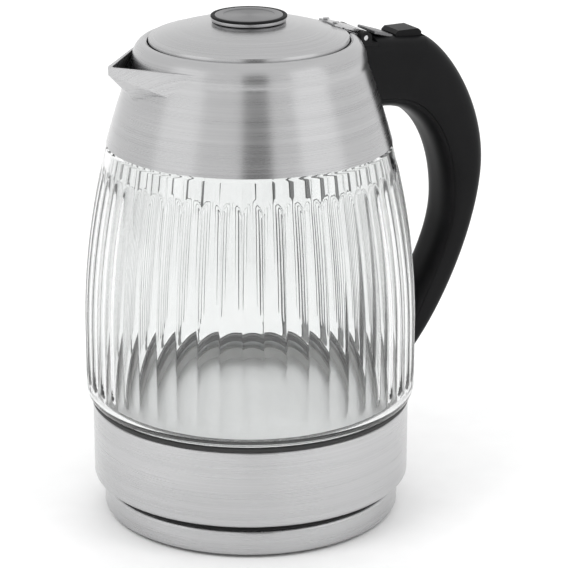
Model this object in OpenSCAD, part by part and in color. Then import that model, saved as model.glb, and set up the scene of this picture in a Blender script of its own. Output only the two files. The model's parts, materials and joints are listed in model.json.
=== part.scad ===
// Cordless electric kettle: a fluted glass jar between a steel band and a steel collar, with a
// hinged lid and a loop handle, standing on a round power base.
// Origin: centre of the underside. +Z up, handle towards +X, spout towards -X. Millimetres.

/* [Jar and body] */
// Outer radius of the glass where it is widest
belly_r = 77; // [66:1:93]
// Height of the straight part of the glass, above the seam
belly_h = 33.8; // [28:0.2:45]
// Height of the glass seen between the seam and the collar
glass_h = 121.8; // [100:0.2:150]
// Thickness of the glass
glass_wall = 3.6; // [2.8:0.1:4.4]
// Height of the steel collar
collar_h = 47; // [40:0.5:57]
// Radius of the side curve at the collar's shoulder
shoulder_r = 53.2; // [52:0.2:58]
// How far the shoulder lies below the rim
shoulder_drop = 11; // [9:0.5:13]
// Radius of the mouth in the collar's rim
mouth_r = 46.2; // [42:0.2:47]
// Thickness of the collar's and the lid's sheet steel
sheet = 0.9; // [0.7:0.1:1.2]

/* [Band] */
// Height of the steel band
band_h = 36.6; // [34:0.2:44]
// How far the band stands in from the glass
band_step = 2.8; // [2.2:0.1:3.4]
// Thickness of the band's sheet steel
band_wall = 0.8; // [0.6:0.1:1.2]
// Height of the black ring between the band and the glass
seam_h = 2.4; // [1.8:0.1:3]

/* [Power base] */
// Height of the power base
base_h = 13.6; // [12:0.2:17]
// How far the power base stands in from the band
base_step = 4.7; // [3.6:0.1:6]
// Height of the dark gap between the power base and the band
gap_h = 3.6; // [3:0.1:4.4]
// Thickness of the power base's steel ring
ring_wall = 1.2; // [0.8:0.1:1.6]
// Height of the rubber feet below the power base's cover
foot_h = 1.6; // [1.2:0.1:2.4]

/* [Connector] */
// Outer radius of the connector's wall
connector_r = 17; // [15:0.5:20]
// Height of the connector above the top of the power base
connector_rise = 9; // [7:0.5:11]
// Radius of the connector's middle post
post_r = 6; // [5:0.25:7]

/* [Spout] */
// How far the spout's tip stands out from the collar's shoulder
spout_reach = 16.3; // [13:0.1:20]
// Half of the angle that the spout takes up on the collar
spout_half_angle = 38; // [32:1:44]
// Height of the spout
spout_h = 17; // [14:0.5:20]

/* [Lid] */
// Height of the lid's dome above its edge
dome_h = 9.4; // [7:0.2:12]
// Radius of the knob
knob_r = 17.3; // [14:0.1:21]
// Height of the knob
knob_h = 1.9; // [1.6:0.1:3]
// Radius of the hinge pin
pin_r = 1.25; // [1:0.05:1.5]

/* [Handle] */
// How far the handle stands out from the widest glass
handle_reach = 44.2; // [38:0.2:54]
// Width of the handle at the grip
grip_w = 25; // [22:0.5:30]
// Depth of the handle at the grip
grip_d = 20.8; // [17:0.2:24]
// Width of the handle where it meets the collar
arm_w = 29; // [26:0.5:34]
// Width of the handle's foot on the band
foot_w = 18; // [15:0.5:21]
// Thickness of the handle's plastic shell
shell_wall = 2.4; // [2:0.1:3]
// Length of the power switch along the handle
switch_l = 14; // [11:0.5:16]
// Width of the power switch
switch_w = 13; // [11:0.5:15]

/* [Fits] */
// Gap between pieces that are fixed together
fit = 0.2; // [0.1:0.05:0.3]
// Gap between pieces that move past each other
gap = 0.5; // [0.4:0.05:0.8]
// Radial clearance of a pin in its bore
pin_fit = 0.06; // [0.03:0.01:0.1]

/* [Hidden] */
$fn = 96;
fine = 32;

// Colours
steel = [0.78, 0.78, 0.79];
dark_steel = [0.45, 0.45, 0.47];
black = [0.08, 0.08, 0.085];
seal_black = [0.05, 0.05, 0.05];
brass_tone = [0.8, 0.62, 0.3];
clear = [0.85, 0.9, 0.92, 0.4];

// Radii that follow the glass
band_r = belly_r - band_step;
base_r = band_r - base_step;
floor_r = band_r - band_wall - fit;

// Heights, from the resting plane up
band_z = base_h + gap_h;
band_top = band_z + band_h;
glass_z = band_top + seam_h;
belly_z = glass_z + belly_h;
collar_z = glass_z + glass_h;
rim_z = collar_z + collar_h;
shoulder_z = rim_z - shoulder_drop;
collar_proud = 0.4;

// The side of the jar and the collar is one parabola above the straight part of the glass
flare = (belly_r - shoulder_r) / pow(shoulder_z - belly_z, 2);
function side_r(z) = belly_r - flare * pow(max(z - belly_z, 0), 2);

// Glass: the foot stands inside the band and the neck inside the collar
foot_r = floor_r - 0.6;
foot_z = band_top - 4.8;
neck_lap = 7;
neck_in = 2.4;

// Floor of the jar, from the seal down
seal_lip = 1.4;
seal_base = 2.4;
plate_t = 1;
plate_z = foot_z - seal_base - plate_t;
spreader_t = 1.8;
spreader_r = belly_r - 22;
element_r = spreader_r - 8;
tube_r = 3.4;
element_open = 26;
clamp_h = 5;

// Kettle connector, measured from the top of the power base
slot_wall = 2;
slot_floor = base_h - 2.4;
shutter_h = 2.6;
plug_in_r = post_r + 1.8;
plug_out_r = connector_r - slot_wall - 1;
plug_z = slot_floor + shutter_h + 2 * gap;
control_z = base_h + connector_rise + 3;
control_h = plate_z - spreader_t - 3.2 - control_z;
control_l = 2 * (connector_r + 6);
control_w = 38;

// Screw pattern of the power base and of the kettle's bottom
screw_count = 3;
screw_r = 1.6;
head_r = 3;
base_screw_ring = base_r - 17;
ring_lip = 2.4;
pad_r = 4.6;
pad_in = 0.5;
gland_angle = 60;
gland_r = 3;
gland_z = foot_h + 5;
bottom_screw_ring = band_r - 13;

// Lid and hinge
lid_r = mouth_r - 0.7;
edge_h = 1.6;
dome_z = rim_z + edge_h;
dome_top = dome_z + dome_h - edge_h;
knob_cap_h = 0.6 * knob_h;
boss_r = 3;
pan_r = mouth_r - 3.4;
pan_depth = 6.4;
seal_z = rim_z - 4.6;
knuckle_r = 2.9;
hinge_x = mouth_r + 8;
hinge_z = rim_z - 3.2;
leaf_w = 15;
rivet_x = lid_r - 3.2;
rivet_y = [-4.6, 4.6];
rivet_r = 0.9;
rivet_low = rim_z - 1.2;
lug_w = 4;
block_w = leaf_w + 2 * (gap + lug_w);

// Handle
top_z = rim_z - 2.6;
arm_low_z = collar_z + 9;
hx = belly_r + handle_reach;
knee_x = hx - 33;
knee_z = top_z - 3.6;
grip_z = collar_z - 22;
foot_low_z = band_z + 11;
foot_out = band_r + 4.8;
foot_in = band_r + 0.5;
jar_side = belly_r + 1.2;
cover_d = 5;
foot_screw_z = foot_low_z + 4;
arm_screws = [arm_low_z + 7.5, arm_low_z + 14.5];
arm_screw_l = 8;
duct_z = hinge_z - 11.5;
duct_r = 2;

// Switch on top of the handle
switch_x = knee_x - 8.5;
switch_pivot_z = knee_z - 4.6;
switch_proud = 3.2;
pivot_r = 1.2;
switch_angle = 10;

// ---------------------------------------------------------------- helpers

module ring(r_out, r_in, z, h) {
    translate([0, 0, z]) difference() {
        cylinder(r = r_out, h = h);
        translate([0, 0, -1]) cylinder(r = r_in, h = h + 2);
    }
}

module around(count, r, turn = 0) {
    for (i = [0 : count - 1]) rotate([0, 0, turn + i * 360 / count]) translate([r, 0, 0]) children();
}

// A screw standing on its head: the head's underside is at z = 0 and the shank points up
module screw_up(length, shank = screw_r, head = head_r) {
    translate([0, 0, -1.8]) difference() {
        cylinder(r = head, h = 1.8, $fn = fine);
        translate([0, 0, -0.1]) cylinder(r = 1.3, h = 1.1, $fn = 6);
    }
    cylinder(r = shank, h = length, $fn = fine);
}

// Side of the collar and its rounded shoulder, moved outwards by an offset
function collar_side(out, steps = 14) =
    [for (i = [0 : steps]) let (z = collar_z + (shoulder_z - collar_z) * i / steps) [side_r(z) + out, z]];
function collar_shoulder(out, steps = 8) = [for (i = [1 : steps]) let (a = 90 * i / steps)
    [mouth_r + 1 + (shoulder_r + out - mouth_r - 1) * cos(a),
     shoulder_z + (rim_z + out - collar_proud - shoulder_z) * sin(a)]];

// The space inside the outer side of jar, band and collar, grown by a clearance
module body_space(grow) {
    steps = 12;
    out = collar_proud + grow;
    rotate_extrude() polygon(concat(
        [[0, band_z - 8], [band_r + grow, band_z - 8], [band_r + grow, band_top - 1],
         [belly_r + out, glass_z + 6]],
        [for (i = [0 : steps]) let (z = belly_z + (collar_z - belly_z) * i / steps) [side_r(z) + out, z]],
        collar_side(out), collar_shoulder(out), [[0, rim_z + grow]]));
}

// ---------------------------------------------------------------- power base

module base_ring() {
    low = foot_h;
    color(steel) difference() {
        rotate_extrude() polygon([
            [base_r - 2.4, low], [base_r - 0.8, low], [base_r, low + 1.2], [base_r, base_h - 1],
            [base_r - 1, base_h], [base_r - ring_lip, base_h], [base_r - ring_lip, base_h - ring_wall],
            [base_r - ring_wall, base_h - ring_wall], [base_r - ring_wall, low + ring_wall + 0.4],
            [base_r - 2.4, low + ring_wall + 0.4]]);
        rotate([0, 0, gland_angle]) translate([base_r - 4, 0, gland_z]) rotate([0, 90, 0])
            cylinder(r = gland_r + fit, h = 8, $fn = fine);
    }
}

module base_top_plate() {
    plate_r = base_r - ring_wall - fit;
    under = base_h - ring_wall - fit;
    t = 2;
    color(black) difference() {
        union() {
            translate([0, 0, under - t]) cylinder(r = plate_r, h = t);
            translate([0, 0, under - t]) cylinder(r = base_r - ring_lip - fit, h = t + ring_wall + fit);
            around(screw_count, base_screw_ring)
                translate([0, 0, foot_h + 2 + fit]) cylinder(r = 4, h = under - foot_h - 3, $fn = fine);
        }
        translate([0, 0, -1]) cylinder(r = connector_r + fit, h = base_h + 2);
        around(screw_count, base_screw_ring)
            translate([0, 0, -1]) cylinder(r = screw_r + pin_fit, h = under - t, $fn = fine);
        rotate([0, 0, gland_angle]) translate([base_r - 10, -6, foot_h]) cube([14, 12, gland_z + 4.6 - foot_h]);
    }
}

module base_bottom_cover() {
    cover_r = base_r - 2.4 - fit;
    color(black) difference() {
        union() {
            translate([0, 0, foot_h]) cylinder(r = cover_r, h = 2);
            ring(connector_r + 3, connector_r + 0.6, foot_h + 1, 4);
            ring(cover_r - 2, cover_r - 4, foot_h + 1, 3);
        }
        around(screw_count, base_screw_ring) {
            translate([0, 0, foot_h - 1]) cylinder(r = screw_r + pin_fit, h = 4, $fn = fine);
            translate([0, 0, foot_h - 1]) cylinder(r = head_r + fit, h = 1.8, $fn = fine);
        }
        at_feet() translate([0, 0, foot_h - 1]) cylinder(r = pad_r + 0.4, h = 1 + pad_in + 0.1, $fn = fine);
        rotate([0, 0, gland_angle]) translate([base_r - 10, -6, foot_h + 0.6]) cube([14, 12, 4]);
    }
}

// One foot in the middle, under the connector, and four near the edge
module at_feet() {
    children();
    around(4, base_r - 11, 45) children();
}

module base_feet() {
    color(seal_black) at_feet() cylinder(r = pad_r, h = foot_h + pad_in, $fn = fine);
}

module base_screws() {
    color(dark_steel) around(screw_count, base_screw_ring)
        translate([0, 0, foot_h + 0.8]) screw_up(5.6, head = head_r - 0.2);
}

module connector_body() {
    top = base_h + connector_rise;
    low = foot_h + 2 + fit;
    color(black) difference() {
        rotate_extrude() polygon([
            [0, low], [connector_r - fit, low], [connector_r - fit, top - 1],
            [connector_r - fit - 0.8, top],
            [connector_r - slot_wall, top], [connector_r - slot_wall, slot_floor],
            [post_r, slot_floor], [post_r, top - 0.6], [post_r - 0.6, top], [0, top]]);
        translate([0, 0, slot_floor]) cylinder(r = 2.1, h = top, $fn = fine);
    }
}

// Two contact rings on the walls of the slot, and the earth pin in the middle post
module connector_contacts() {
    top = base_h + connector_rise;
    t = 0.35;
    color(brass_tone) {
        ring(post_r + t, post_r, slot_floor + shutter_h + 2.4, 2.2);
        ring(connector_r - slot_wall, connector_r - slot_wall - t, slot_floor + shutter_h + 2.4, 2.2);
        translate([0, 0, slot_floor]) cylinder(r = 2.1, h = top - slot_floor - 1.2, $fn = fine);
    }
}

// Ribbed bush in the notch at the back of the power base, where the lead goes in
module cord_gland() {
    color(seal_black) rotate([0, 0, gland_angle]) translate([base_r - 8, 0, gland_z])
        rotate([0, 90, 0]) difference() {
            union() {
                cylinder(r = gland_r, h = 9.4, $fn = fine);
                translate([0, 0, 3.2]) cylinder(r = gland_r + 1.2, h = 1.8, $fn = fine);
            }
            translate([0, 0, -1]) cylinder(r = gland_r - 1, h = 12, $fn = fine);
        }
}

// Loose ring that covers the slot of the connector; the kettle's plug turns it
module slot_shutter() {
    color(black) ring(connector_r - slot_wall - gap, post_r + gap + 0.3, slot_floor + gap, shutter_h);
}

// ---------------------------------------------------------------- kettle: band and floor

module steel_band() {
    color(steel) difference() {
        rotate_extrude() polygon([
            [band_r - 2.4, band_z], [band_r - 1, band_z], [band_r, band_z + 1.2],
            [band_r, band_top - 0.6], [band_r - 0.6, band_top], [band_r - band_wall - 0.1, band_top],
            [band_r - band_wall, band_z + 1.8], [band_r - 2.4, band_z + 1]]);
        translate([band_r - 4, 0, foot_screw_z]) rotate([0, 90, 0]) cylinder(r = screw_r + fit, h = 8, $fn = fine);
        translate([band_r - 4, -2.6, lead_z - 1.5]) cube([8, 5.2, 3]);
    }
}

module bottom_cover() {
    low = base_h + fit;
    color(black) difference() {
        union() {
            rotate_extrude() polygon([
                [0, low], [band_r - 5, low], [band_r - 4, low + 1], [band_r - 4, band_z + 0.6],
                [band_r - 3, band_z + 1.3], [band_r - 3, band_z + 3.2], [0, band_z + 3.2]]);
            around(screw_count, bottom_screw_ring, 60) translate([0, 0, low + 2])
                cylinder(r = 4.4, h = plate_z - clamp_h - fit - low - 2, $fn = fine);
        }
        translate([0, 0, low + 2.2]) difference() {
            cylinder(r = band_r - 5, h = 20);
            around(screw_count, bottom_screw_ring, 60) cylinder(r = 4.4, h = 60, $fn = fine);
        }
        translate([0, 0, low - 1]) cylinder(r = connector_r + gap + 0.4, h = 8);
        around(screw_count, bottom_screw_ring, 60) translate([0, 0, low - 1]) {
            cylinder(r = screw_r + pin_fit, h = 60, $fn = fine);
            cylinder(r = head_r + fit, h = 4, $fn = fine);
        }
    }
}

module bottom_screws() {
    low = base_h + fit;
    color(dark_steel) around(screw_count, bottom_screw_ring, 60)
        translate([0, 0, low + 3]) screw_up(plate_z - 1.8 - low - 3, head = head_r - 0.2);
}

// The kettle's half of the connector: a skirt that dips into the slot, under a flange
module plug_housing() {
    flange_z = base_h + connector_rise + gap + 0.3;
    color(black) rotate_extrude() polygon([
        [plug_in_r, plug_z], [plug_out_r, plug_z], [plug_out_r, flange_z],
        [connector_r + 0.8, flange_z], [connector_r + 0.8, control_z - fit],
        [post_r - 2.4, control_z - fit], [post_r - 2.4, flange_z + 0.4], [plug_in_r, flange_z + 0.4]]);
}

module plug_contacts() {
    // Sprung strips on both faces of the skirt, and the socket of the earth pin
    t = 0.3;
    z = plug_z + 2.4;
    color(brass_tone) {
        for (a = [0, 180]) rotate([0, 0, a]) {
            intersection() {
                ring(plug_in_r, plug_in_r - t, z, 4);
                translate([0, -2, 0]) cube([40, 4, 90]);
            }
            intersection() {
                ring(plug_out_r + t, plug_out_r, z, 4);
                translate([0, -2, 0]) cube([40, 4, 90]);
            }
        }
        ring(post_r - 2.4, post_r - 3, control_z - 2.4, 2);
    }
}

module control_unit() {
    color([0.85, 0.84, 0.8]) difference() {
        union() {
            translate([-control_l / 2, -control_w / 2, control_z]) cube([control_l, control_w, control_h * 0.55]);
            translate([-control_l / 2 + 5, -control_w / 2 + 4, control_z])
                cube([control_l - 10, control_w - 8, control_h]);
        }
        for (y = [-9, 9]) translate([0, y, control_z + control_h - 1]) cylinder(r = 7.4, h = 3, $fn = fine);
        for (x = [-control_l / 2 + 2.6, control_l / 2 - 2.6]) translate([x, 0, control_z - 1])
            cylinder(r = 1.4, h = 30, $fn = fine);
        for (y = [-1, 1]) translate([0, y * (control_w / 2 + 1), control_z + 2]) cube([12, 6, 5], center = true);
    }
}

module control_screws() {
    color(dark_steel) for (x = [-control_l / 2 + 2.6, control_l / 2 - 2.6])
        translate([x, 0, control_z - fit]) screw_up(plate_z - spreader_t - control_z - 0.4, shank = 1.3, head = 2.2);
}

module bimetal_discs() {
    color(brass_tone) for (y = [-9, 9]) translate([0, y, plate_z - spreader_t - 2.6])
        intersection() {
            cylinder(r = 7, h = 1.6, $fn = fine);
            translate([0, 0, -22]) difference() {
                sphere(r = 23.4);
                sphere(r = 23);
            }
        }
}

// Sheathed element, a ring with an open stretch towards -X, pressed against the spreader
module heating_element() {
    z = plate_z - spreader_t - tube_r;
    color(dark_steel) rotate([0, 0, 180 + element_open]) rotate_extrude(angle = 360 - 2 * element_open)
        translate([element_r, z]) circle(r = tube_r, $fn = fine);
}

module element_pins() {
    z = plate_z - spreader_t - tube_r;
    color(steel) for (s = [-1, 1]) rotate([0, 0, 180 + s * (element_open + 3)])
        translate([element_r, 0, z - tube_r - 7]) cylinder(r = 1.2, h = 7, $fn = fine);
}

module heat_spreader() {
    color([0.7, 0.71, 0.72]) translate([0, 0, plate_z - spreader_t]) cylinder(r = spreader_r, h = spreader_t);
}

module heating_plate() {
    // The rim lies under the seal; the middle is dished a little, so that it drains
    rim = foot_r - 0.4;
    color(steel) rotate_extrude() polygon([
        [0, plate_z], [rim, plate_z], [rim, plate_z + plate_t],
        [rim - 7, plate_z + plate_t], [0, plate_z + plate_t]]);
}

module plate_clamp_ring() {
    color(black) difference() {
        ring(floor_r - fit, spreader_r + 1.6, plate_z - clamp_h, clamp_h);
        around(screw_count, bottom_screw_ring, 60) translate([0, 0, plate_z - clamp_h - 1])
            cylinder(r = screw_r + pin_fit, h = clamp_h - 0.6, $fn = fine);
    }
}

// U-shaped silicone ring that the foot of the glass stands in
module jar_seal() {
    in_r = foot_r - glass_wall - seal_lip - fit;
    color(seal_black) difference() {
        ring(foot_r + 0.4, in_r, plate_z + plate_t, seal_base + 2.8);
        ring(foot_r, foot_r - glass_wall, foot_z, 20);
    }
}

// Black ring that shows as a dark line between the band and the glass
module seam_ring() {
    color(seal_black) rotate_extrude() polygon([
        [foot_r + 0.45, band_top + 0.05], [band_r - 0.2, band_top + 0.05],
        [band_r + 0.5, band_top + 0.6], [band_r + 0.5, glass_z - 0.5],
        [band_r + 0.2, glass_z], [foot_r + 0.45, glass_z]]);
}

// ---------------------------------------------------------------- glass jar

// The outside of the glass, from its foot to its neck, moved inwards by an inset
function jar_line(inset) = concat(
    [[foot_r - inset, foot_z], [foot_r - inset, glass_z + 0.3 + inset * 0.4]],
    [for (a = [0 : 15 : 90]) [band_r - inset + (belly_r - band_r) * sin(a),
        glass_z + 0.3 + inset * 0.4 + 5.6 * (1 - cos(a))]],
    [for (i = [0 : 30]) let (z = belly_z - 10 + (collar_z - 1 - belly_z + 10) * i / 30)
        [side_r(z) - inset, z]],
    [[side_r(collar_z) - neck_in - inset, collar_z + 0.6],
     [side_r(collar_z + neck_lap) - neck_in - inset, collar_z + neck_lap]]);

module glass_jar() {
    outer = jar_line(0);
    inner = jar_line(glass_wall);
    n = len(inner);
    color(clear) rotate_extrude() polygon(concat(outer, [for (i = [0 : n - 1]) inner[n - 1 - i]]));
}

module neck_seal() {
    z = collar_z + neck_lap;
    color(seal_black) rotate_extrude() polygon([
        [side_r(z) - neck_in - glass_wall, z + 0.05], [side_r(z) - neck_in, z + 0.05],
        [side_r(z + 1.8) - neck_in, z + 1.8], [side_r(z + 1.8) - neck_in - glass_wall, z + 1.8]]);
}

// ---------------------------------------------------------------- collar and spout

tip_x = shoulder_r + spout_reach;
wing = spout_half_angle;
tip_h = 3.6;

// The spout as a solid: a pointed wedge, moved inwards by an inset
module spout_wedge(inset, top, drop) {
    wing_r = shoulder_r - 1.5 - inset;
    hull() {
        translate([-tip_x + 3 + inset * 1.3, 0, top - tip_h + inset])
            cylinder(r = 3 - inset, h = tip_h - inset + drop, $fn = fine);
        for (s = [-1, 1]) rotate([0, 0, s * wing]) translate([-wing_r, 0, top - spout_h + 2 + inset])
            cylinder(r = 1, h = spout_h - 2 - inset + drop, $fn = 16);
        translate([-side_r(top - spout_h) + 2 + inset, 0, top - spout_h + inset]) cylinder(r = 1.6, h = 4, $fn = 16);
    }
}

// Half of the collar's section: the outer sheet, the rounded shoulder and the turned-in lip
module collar_section(t) {
    out = concat(collar_side(collar_proud), collar_shoulder(collar_proud));
    in = concat(collar_side(collar_proud - t), collar_shoulder(collar_proud - t));
    n = len(in);
    polygon(concat(out, [[mouth_r, rim_z - 0.5], [mouth_r, rim_z - 7], [mouth_r + t, rim_z - 7],
        [mouth_r + t, rim_z - t]], [for (i = [1 : n - 1]) in[n - 1 - i]]));
}

spout_top = rim_z - 5.4;

module collar() {
    color(steel) difference() {
        union() {
            difference() {
                rotate_extrude() collar_section(sheet);
                // way through the wall into the spout, below the shoulder
                intersection() {
                    spout_wedge(sheet, spout_top, 0);
                    translate([-80, -40, spout_top - spout_h]) cube([60, 80, spout_h - 2]);
                }
            }
            difference() {
                spout_wedge(0, spout_top, 0);
                spout_wedge(sheet, spout_top, 6);
                body_space(-sheet / 2);
            }
        }
        // seat of the hinge, and the holes of the handle's screws and of the steam duct
        translate([mouth_r - 3, -block_w / 2 - fit, hinge_z - knuckle_r - 3.4 - fit]) cube([30, block_w + 2 * fit, 30]);
        for (z = arm_screws) translate([shoulder_r - 8, 0, z])
            rotate([0, 90, 0]) cylinder(r = screw_r + fit, h = 30, $fn = fine);
        translate([shoulder_r - 8, 0, duct_z]) rotate([0, 90, 0]) cylinder(r = duct_r + fit, h = 30, $fn = fine);
    }
}

// Moulded ring inside the mouth: the seat of the lid's seal
module collar_liner() {
    low = rim_z - 13;
    color(black) difference() {
        rotate_extrude() polygon([
            [mouth_r - 6, low], [mouth_r - 0.2, low], [mouth_r + 1, rim_z - 8],
            [mouth_r - 0.2, rim_z - 7.2], [mouth_r - 0.2, rim_z - 6.6 - 1],
            [pan_r - 1.6, rim_z - 7.6], [mouth_r - 6, rim_z - 9]]);
        translate([-mouth_r - 10, -17, low - 1]) cube([20, 34, 20]);
        translate([mouth_r - 3, -block_w / 2 - fit, hinge_z - knuckle_r - 3.4 - fit]) cube([30, block_w + 2 * fit, 30]);
    }
}

// Frame and mesh of the scale filter, behind the way into the spout
filter_w = 32;
filter_h = 19;
filter_x = mouth_r - 5.4;
filter_z = rim_z - 8 - filter_h;

module filter_frame() {
    color(black) translate([-filter_x, -filter_w / 2, filter_z]) difference() {
        cube([2.2, filter_w, filter_h]);
        translate([-1, 2.6, 2.6]) cube([5, filter_w - 5.2, filter_h - 5.2]);
    }
}

module filter_mesh() {
    bars_y = 12;
    bars_z = 6;
    wide = filter_w - 5.2;
    tall = filter_h - 5.2;
    bar = 0.5;
    color(steel) translate([-filter_x + 0.9, -wide / 2, filter_z + 2.6]) {
        for (i = [0 : bars_y]) translate([0, i * (wide - bar) / bars_y, 0]) cube([bar, bar, tall]);
        for (i = [0 : bars_z]) translate([0, 0, i * (tall - bar) / bars_z]) cube([bar, wide, bar]);
    }
}

// ---------------------------------------------------------------- lid

module lid_shell() {
    steps = 12;
    cap_r = lid_r - 1.2;
    ball = (cap_r * cap_r + pow(dome_top - dome_z, 2)) / (2 * (dome_top - dome_z));
    function dome(r, t) = dome_top - t - ball + sqrt(ball * ball - r * r);
    color(steel) difference() {
        rotate_extrude() polygon(concat(
            [for (i = [0 : steps]) let (r = cap_r * i / steps) [r, dome(r, 0)]],
            [[lid_r, dome_z - 0.7], [lid_r, rim_z - 3], [lid_r - sheet, rim_z - 3],
             [lid_r - sheet, dome_z - sheet - 0.6]],
            [for (i = [0 : steps]) let (r = (cap_r - 0.8) * (1 - i / steps)) [r, dome(r, sheet)]]));
        cylinder(r = boss_r + fit, h = 400, $fn = fine);
        rivet_holes();
    }
}

// Pan under the lid, with a turned-out flange that holds the seal
module lid_pan() {
    color([0.2, 0.2, 0.21]) difference() {
        rotate_extrude() polygon([
            [0, rim_z - pan_depth], [pan_r - 2, rim_z - pan_depth], [pan_r, rim_z - pan_depth + 1.4],
            [pan_r, rim_z - 1.4], [lid_r - sheet - fit, rim_z - 1.4], [lid_r - sheet - fit, rim_z],
            [pan_r - 1.6, rim_z], [pan_r - 1.6, rim_z - pan_depth + 2.2], [0, rim_z - pan_depth + 1.6]]);
        translate([0, 0, rim_z - pan_depth - 1]) cylinder(r = 2.2, h = 30, $fn = fine);
        rivet_holes();
    }
}

module lid_seal() {
    color([0.75, 0.75, 0.74]) rotate_extrude() polygon([
        [pan_r + 0.05, seal_z], [mouth_r - 1, seal_z + 0.5], [mouth_r - 1, seal_z + 1],
        [pan_r + 0.9, seal_z + 2], [pan_r + 0.05, seal_z + 2]]);
}

module lid_hinge_leaf() {
    leaf_t = 1.1;
    color(steel) difference() {
        union() {
            translate([hinge_x, leaf_w / 2, hinge_z]) rotate([90, 0, 0]) cylinder(r = knuckle_r, h = leaf_w);
            hull() {
                translate([hinge_x - 0.6, -leaf_w / 2, hinge_z + knuckle_r - leaf_t]) cube([0.6, leaf_w, leaf_t]);
                translate([lid_r - 1.5, -leaf_w / 2, dome_z + 0.1]) cube([1, leaf_w, leaf_t]);
            }
            hull() {
                translate([lid_r - 1.5, -leaf_w / 2, dome_z + 0.1]) cube([1, leaf_w, leaf_t]);
                translate([lid_r - 5.4, -leaf_w / 2, dome_z + 1]) cube([1, leaf_w, leaf_t]);
            }
        }
        translate([hinge_x, 40, hinge_z]) rotate([90, 0, 0]) cylinder(r = pin_r + pin_fit, h = 80, $fn = fine);
        lid_space();
        rivet_holes();
    }
}

// Holes of the two rivets that hold leaf, shell and pan together
module rivet_holes() {
    for (y = rivet_y) translate([rivet_x, y, rivet_low]) cylinder(r = rivet_r + pin_fit, h = 20, $fn = fine);
}

// What the lid's dome fills, for cutting pieces that lie on it
module lid_space() {
    cap_r = lid_r - 1.2;
    ball = (cap_r * cap_r + pow(dome_top - dome_z, 2)) / (2 * (dome_top - dome_z));
    translate([0, 0, rim_z - 4]) cylinder(r = lid_r + fit, h = 4 + edge_h + 0.2);
    translate([0, 0, dome_top - ball]) sphere(r = ball + 0.15, $fn = 180);
}

module hinge_rivets() {
    h = dome_z + 2.2 - rivet_low;
    color(dark_steel) for (y = rivet_y) translate([rivet_x, y, rivet_low]) {
        cylinder(r = rivet_r, h = h, $fn = fine);
        translate([0, 0, h]) cylinder(r = rivet_r + 0.6, h = 0.5, $fn = fine);
    }
}

// Turned skirt of the knob, with a boss that goes through the lid
module knob_base() {
    top = dome_top + knob_h - knob_cap_h;
    color(steel) difference() {
        union() {
            difference() {
                rotate_extrude() polygon([
                    [0, dome_top + 0.05], [knob_r - 3, dome_top - 1.2], [knob_r - 1.2, dome_top - 1.2],
                    [knob_r - 0.4, dome_top - 0.4], [knob_r - 0.4, top], [0, top]]);
                lid_space();
            }
            translate([0, 0, dome_top - 3.4]) cylinder(r = boss_r, h = top - dome_top + 3.4, $fn = fine);
        }
        translate([0, 0, rim_z]) cylinder(r = screw_r, h = dome_top + 0.3 - rim_z, $fn = fine);
    }
}

// Moulded cap: its rim shows as a dark ring round the disc
module knob_cap() {
    top = dome_top + knob_h;
    color(black) rotate_extrude() polygon([
        [0, top - knob_cap_h + 0.05], [knob_r - 0.2, top - knob_cap_h + 0.05], [knob_r, top - knob_cap_h + 0.25],
        [knob_r, top - 0.3], [knob_r - 0.3, top], [knob_r - 1.5, top], [knob_r - 1.7, top - 0.6], [0, top - 0.6]]);
}

module knob_disc() {
    top = dome_top + knob_h;
    disc_r = knob_r - 1.8;
    color([0.6, 0.6, 0.62]) rotate_extrude() polygon([
        [0, top - 0.55], [disc_r, top - 0.55], [disc_r, top - 0.2], [disc_r - 0.15, top - 0.05],
        [disc_r - 3.6, top - 0.05], [disc_r - 4, top - 0.3], [0, top - 0.3]]);
}

module knob_screw() {
    low = rim_z - pan_depth;
    color(dark_steel) translate([0, 0, low - 0.05]) screw_up(dome_top + 0.05 - low, head = 3.6);
}

// ---------------------------------------------------------------- hinge

// Two lugs that stand in the collar's seat and carry the pin
module hinge_block() {
    low = hinge_z - knuckle_r - 3.4;
    color(black) difference() {
        union() {
            translate([mouth_r + 1.6, -block_w / 2, low]) cube([hinge_x + 6.4 - mouth_r - 1.6, block_w, 3.4]);
            for (s = [-1, 1]) translate([0, s * (block_w - lug_w) / 2, 0]) {
                translate([hinge_x, lug_w / 2, hinge_z]) rotate([90, 0, 0])
                    cylinder(r = knuckle_r, h = lug_w, $fn = fine);
                translate([hinge_x - knuckle_r, -lug_w / 2, low + 1]) cube([2 * knuckle_r, lug_w, hinge_z - low - 1]);
            }
        }
        translate([hinge_x, leaf_w / 2 + gap, hinge_z]) rotate([90, 0, 0])
            cylinder(r = knuckle_r + gap, h = leaf_w + 2 * gap);
        translate([hinge_x, 40, hinge_z]) rotate([90, 0, 0]) cylinder(r = pin_r, h = 80, $fn = fine);
    }
}

module hinge_pin() {
    color(steel) translate([hinge_x, block_w / 2 - 0.4, hinge_z]) rotate([90, 0, 0])
        cylinder(r = pin_r, h = block_w - 0.8, $fn = fine);
}

// ---------------------------------------------------------------- handle

function bezier(p, t) = pow(1 - t, 3) * p[0] + 3 * t * pow(1 - t, 2) * p[1]
    + 3 * t * t * (1 - t) * p[2] + pow(t, 3) * p[3];

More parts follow.
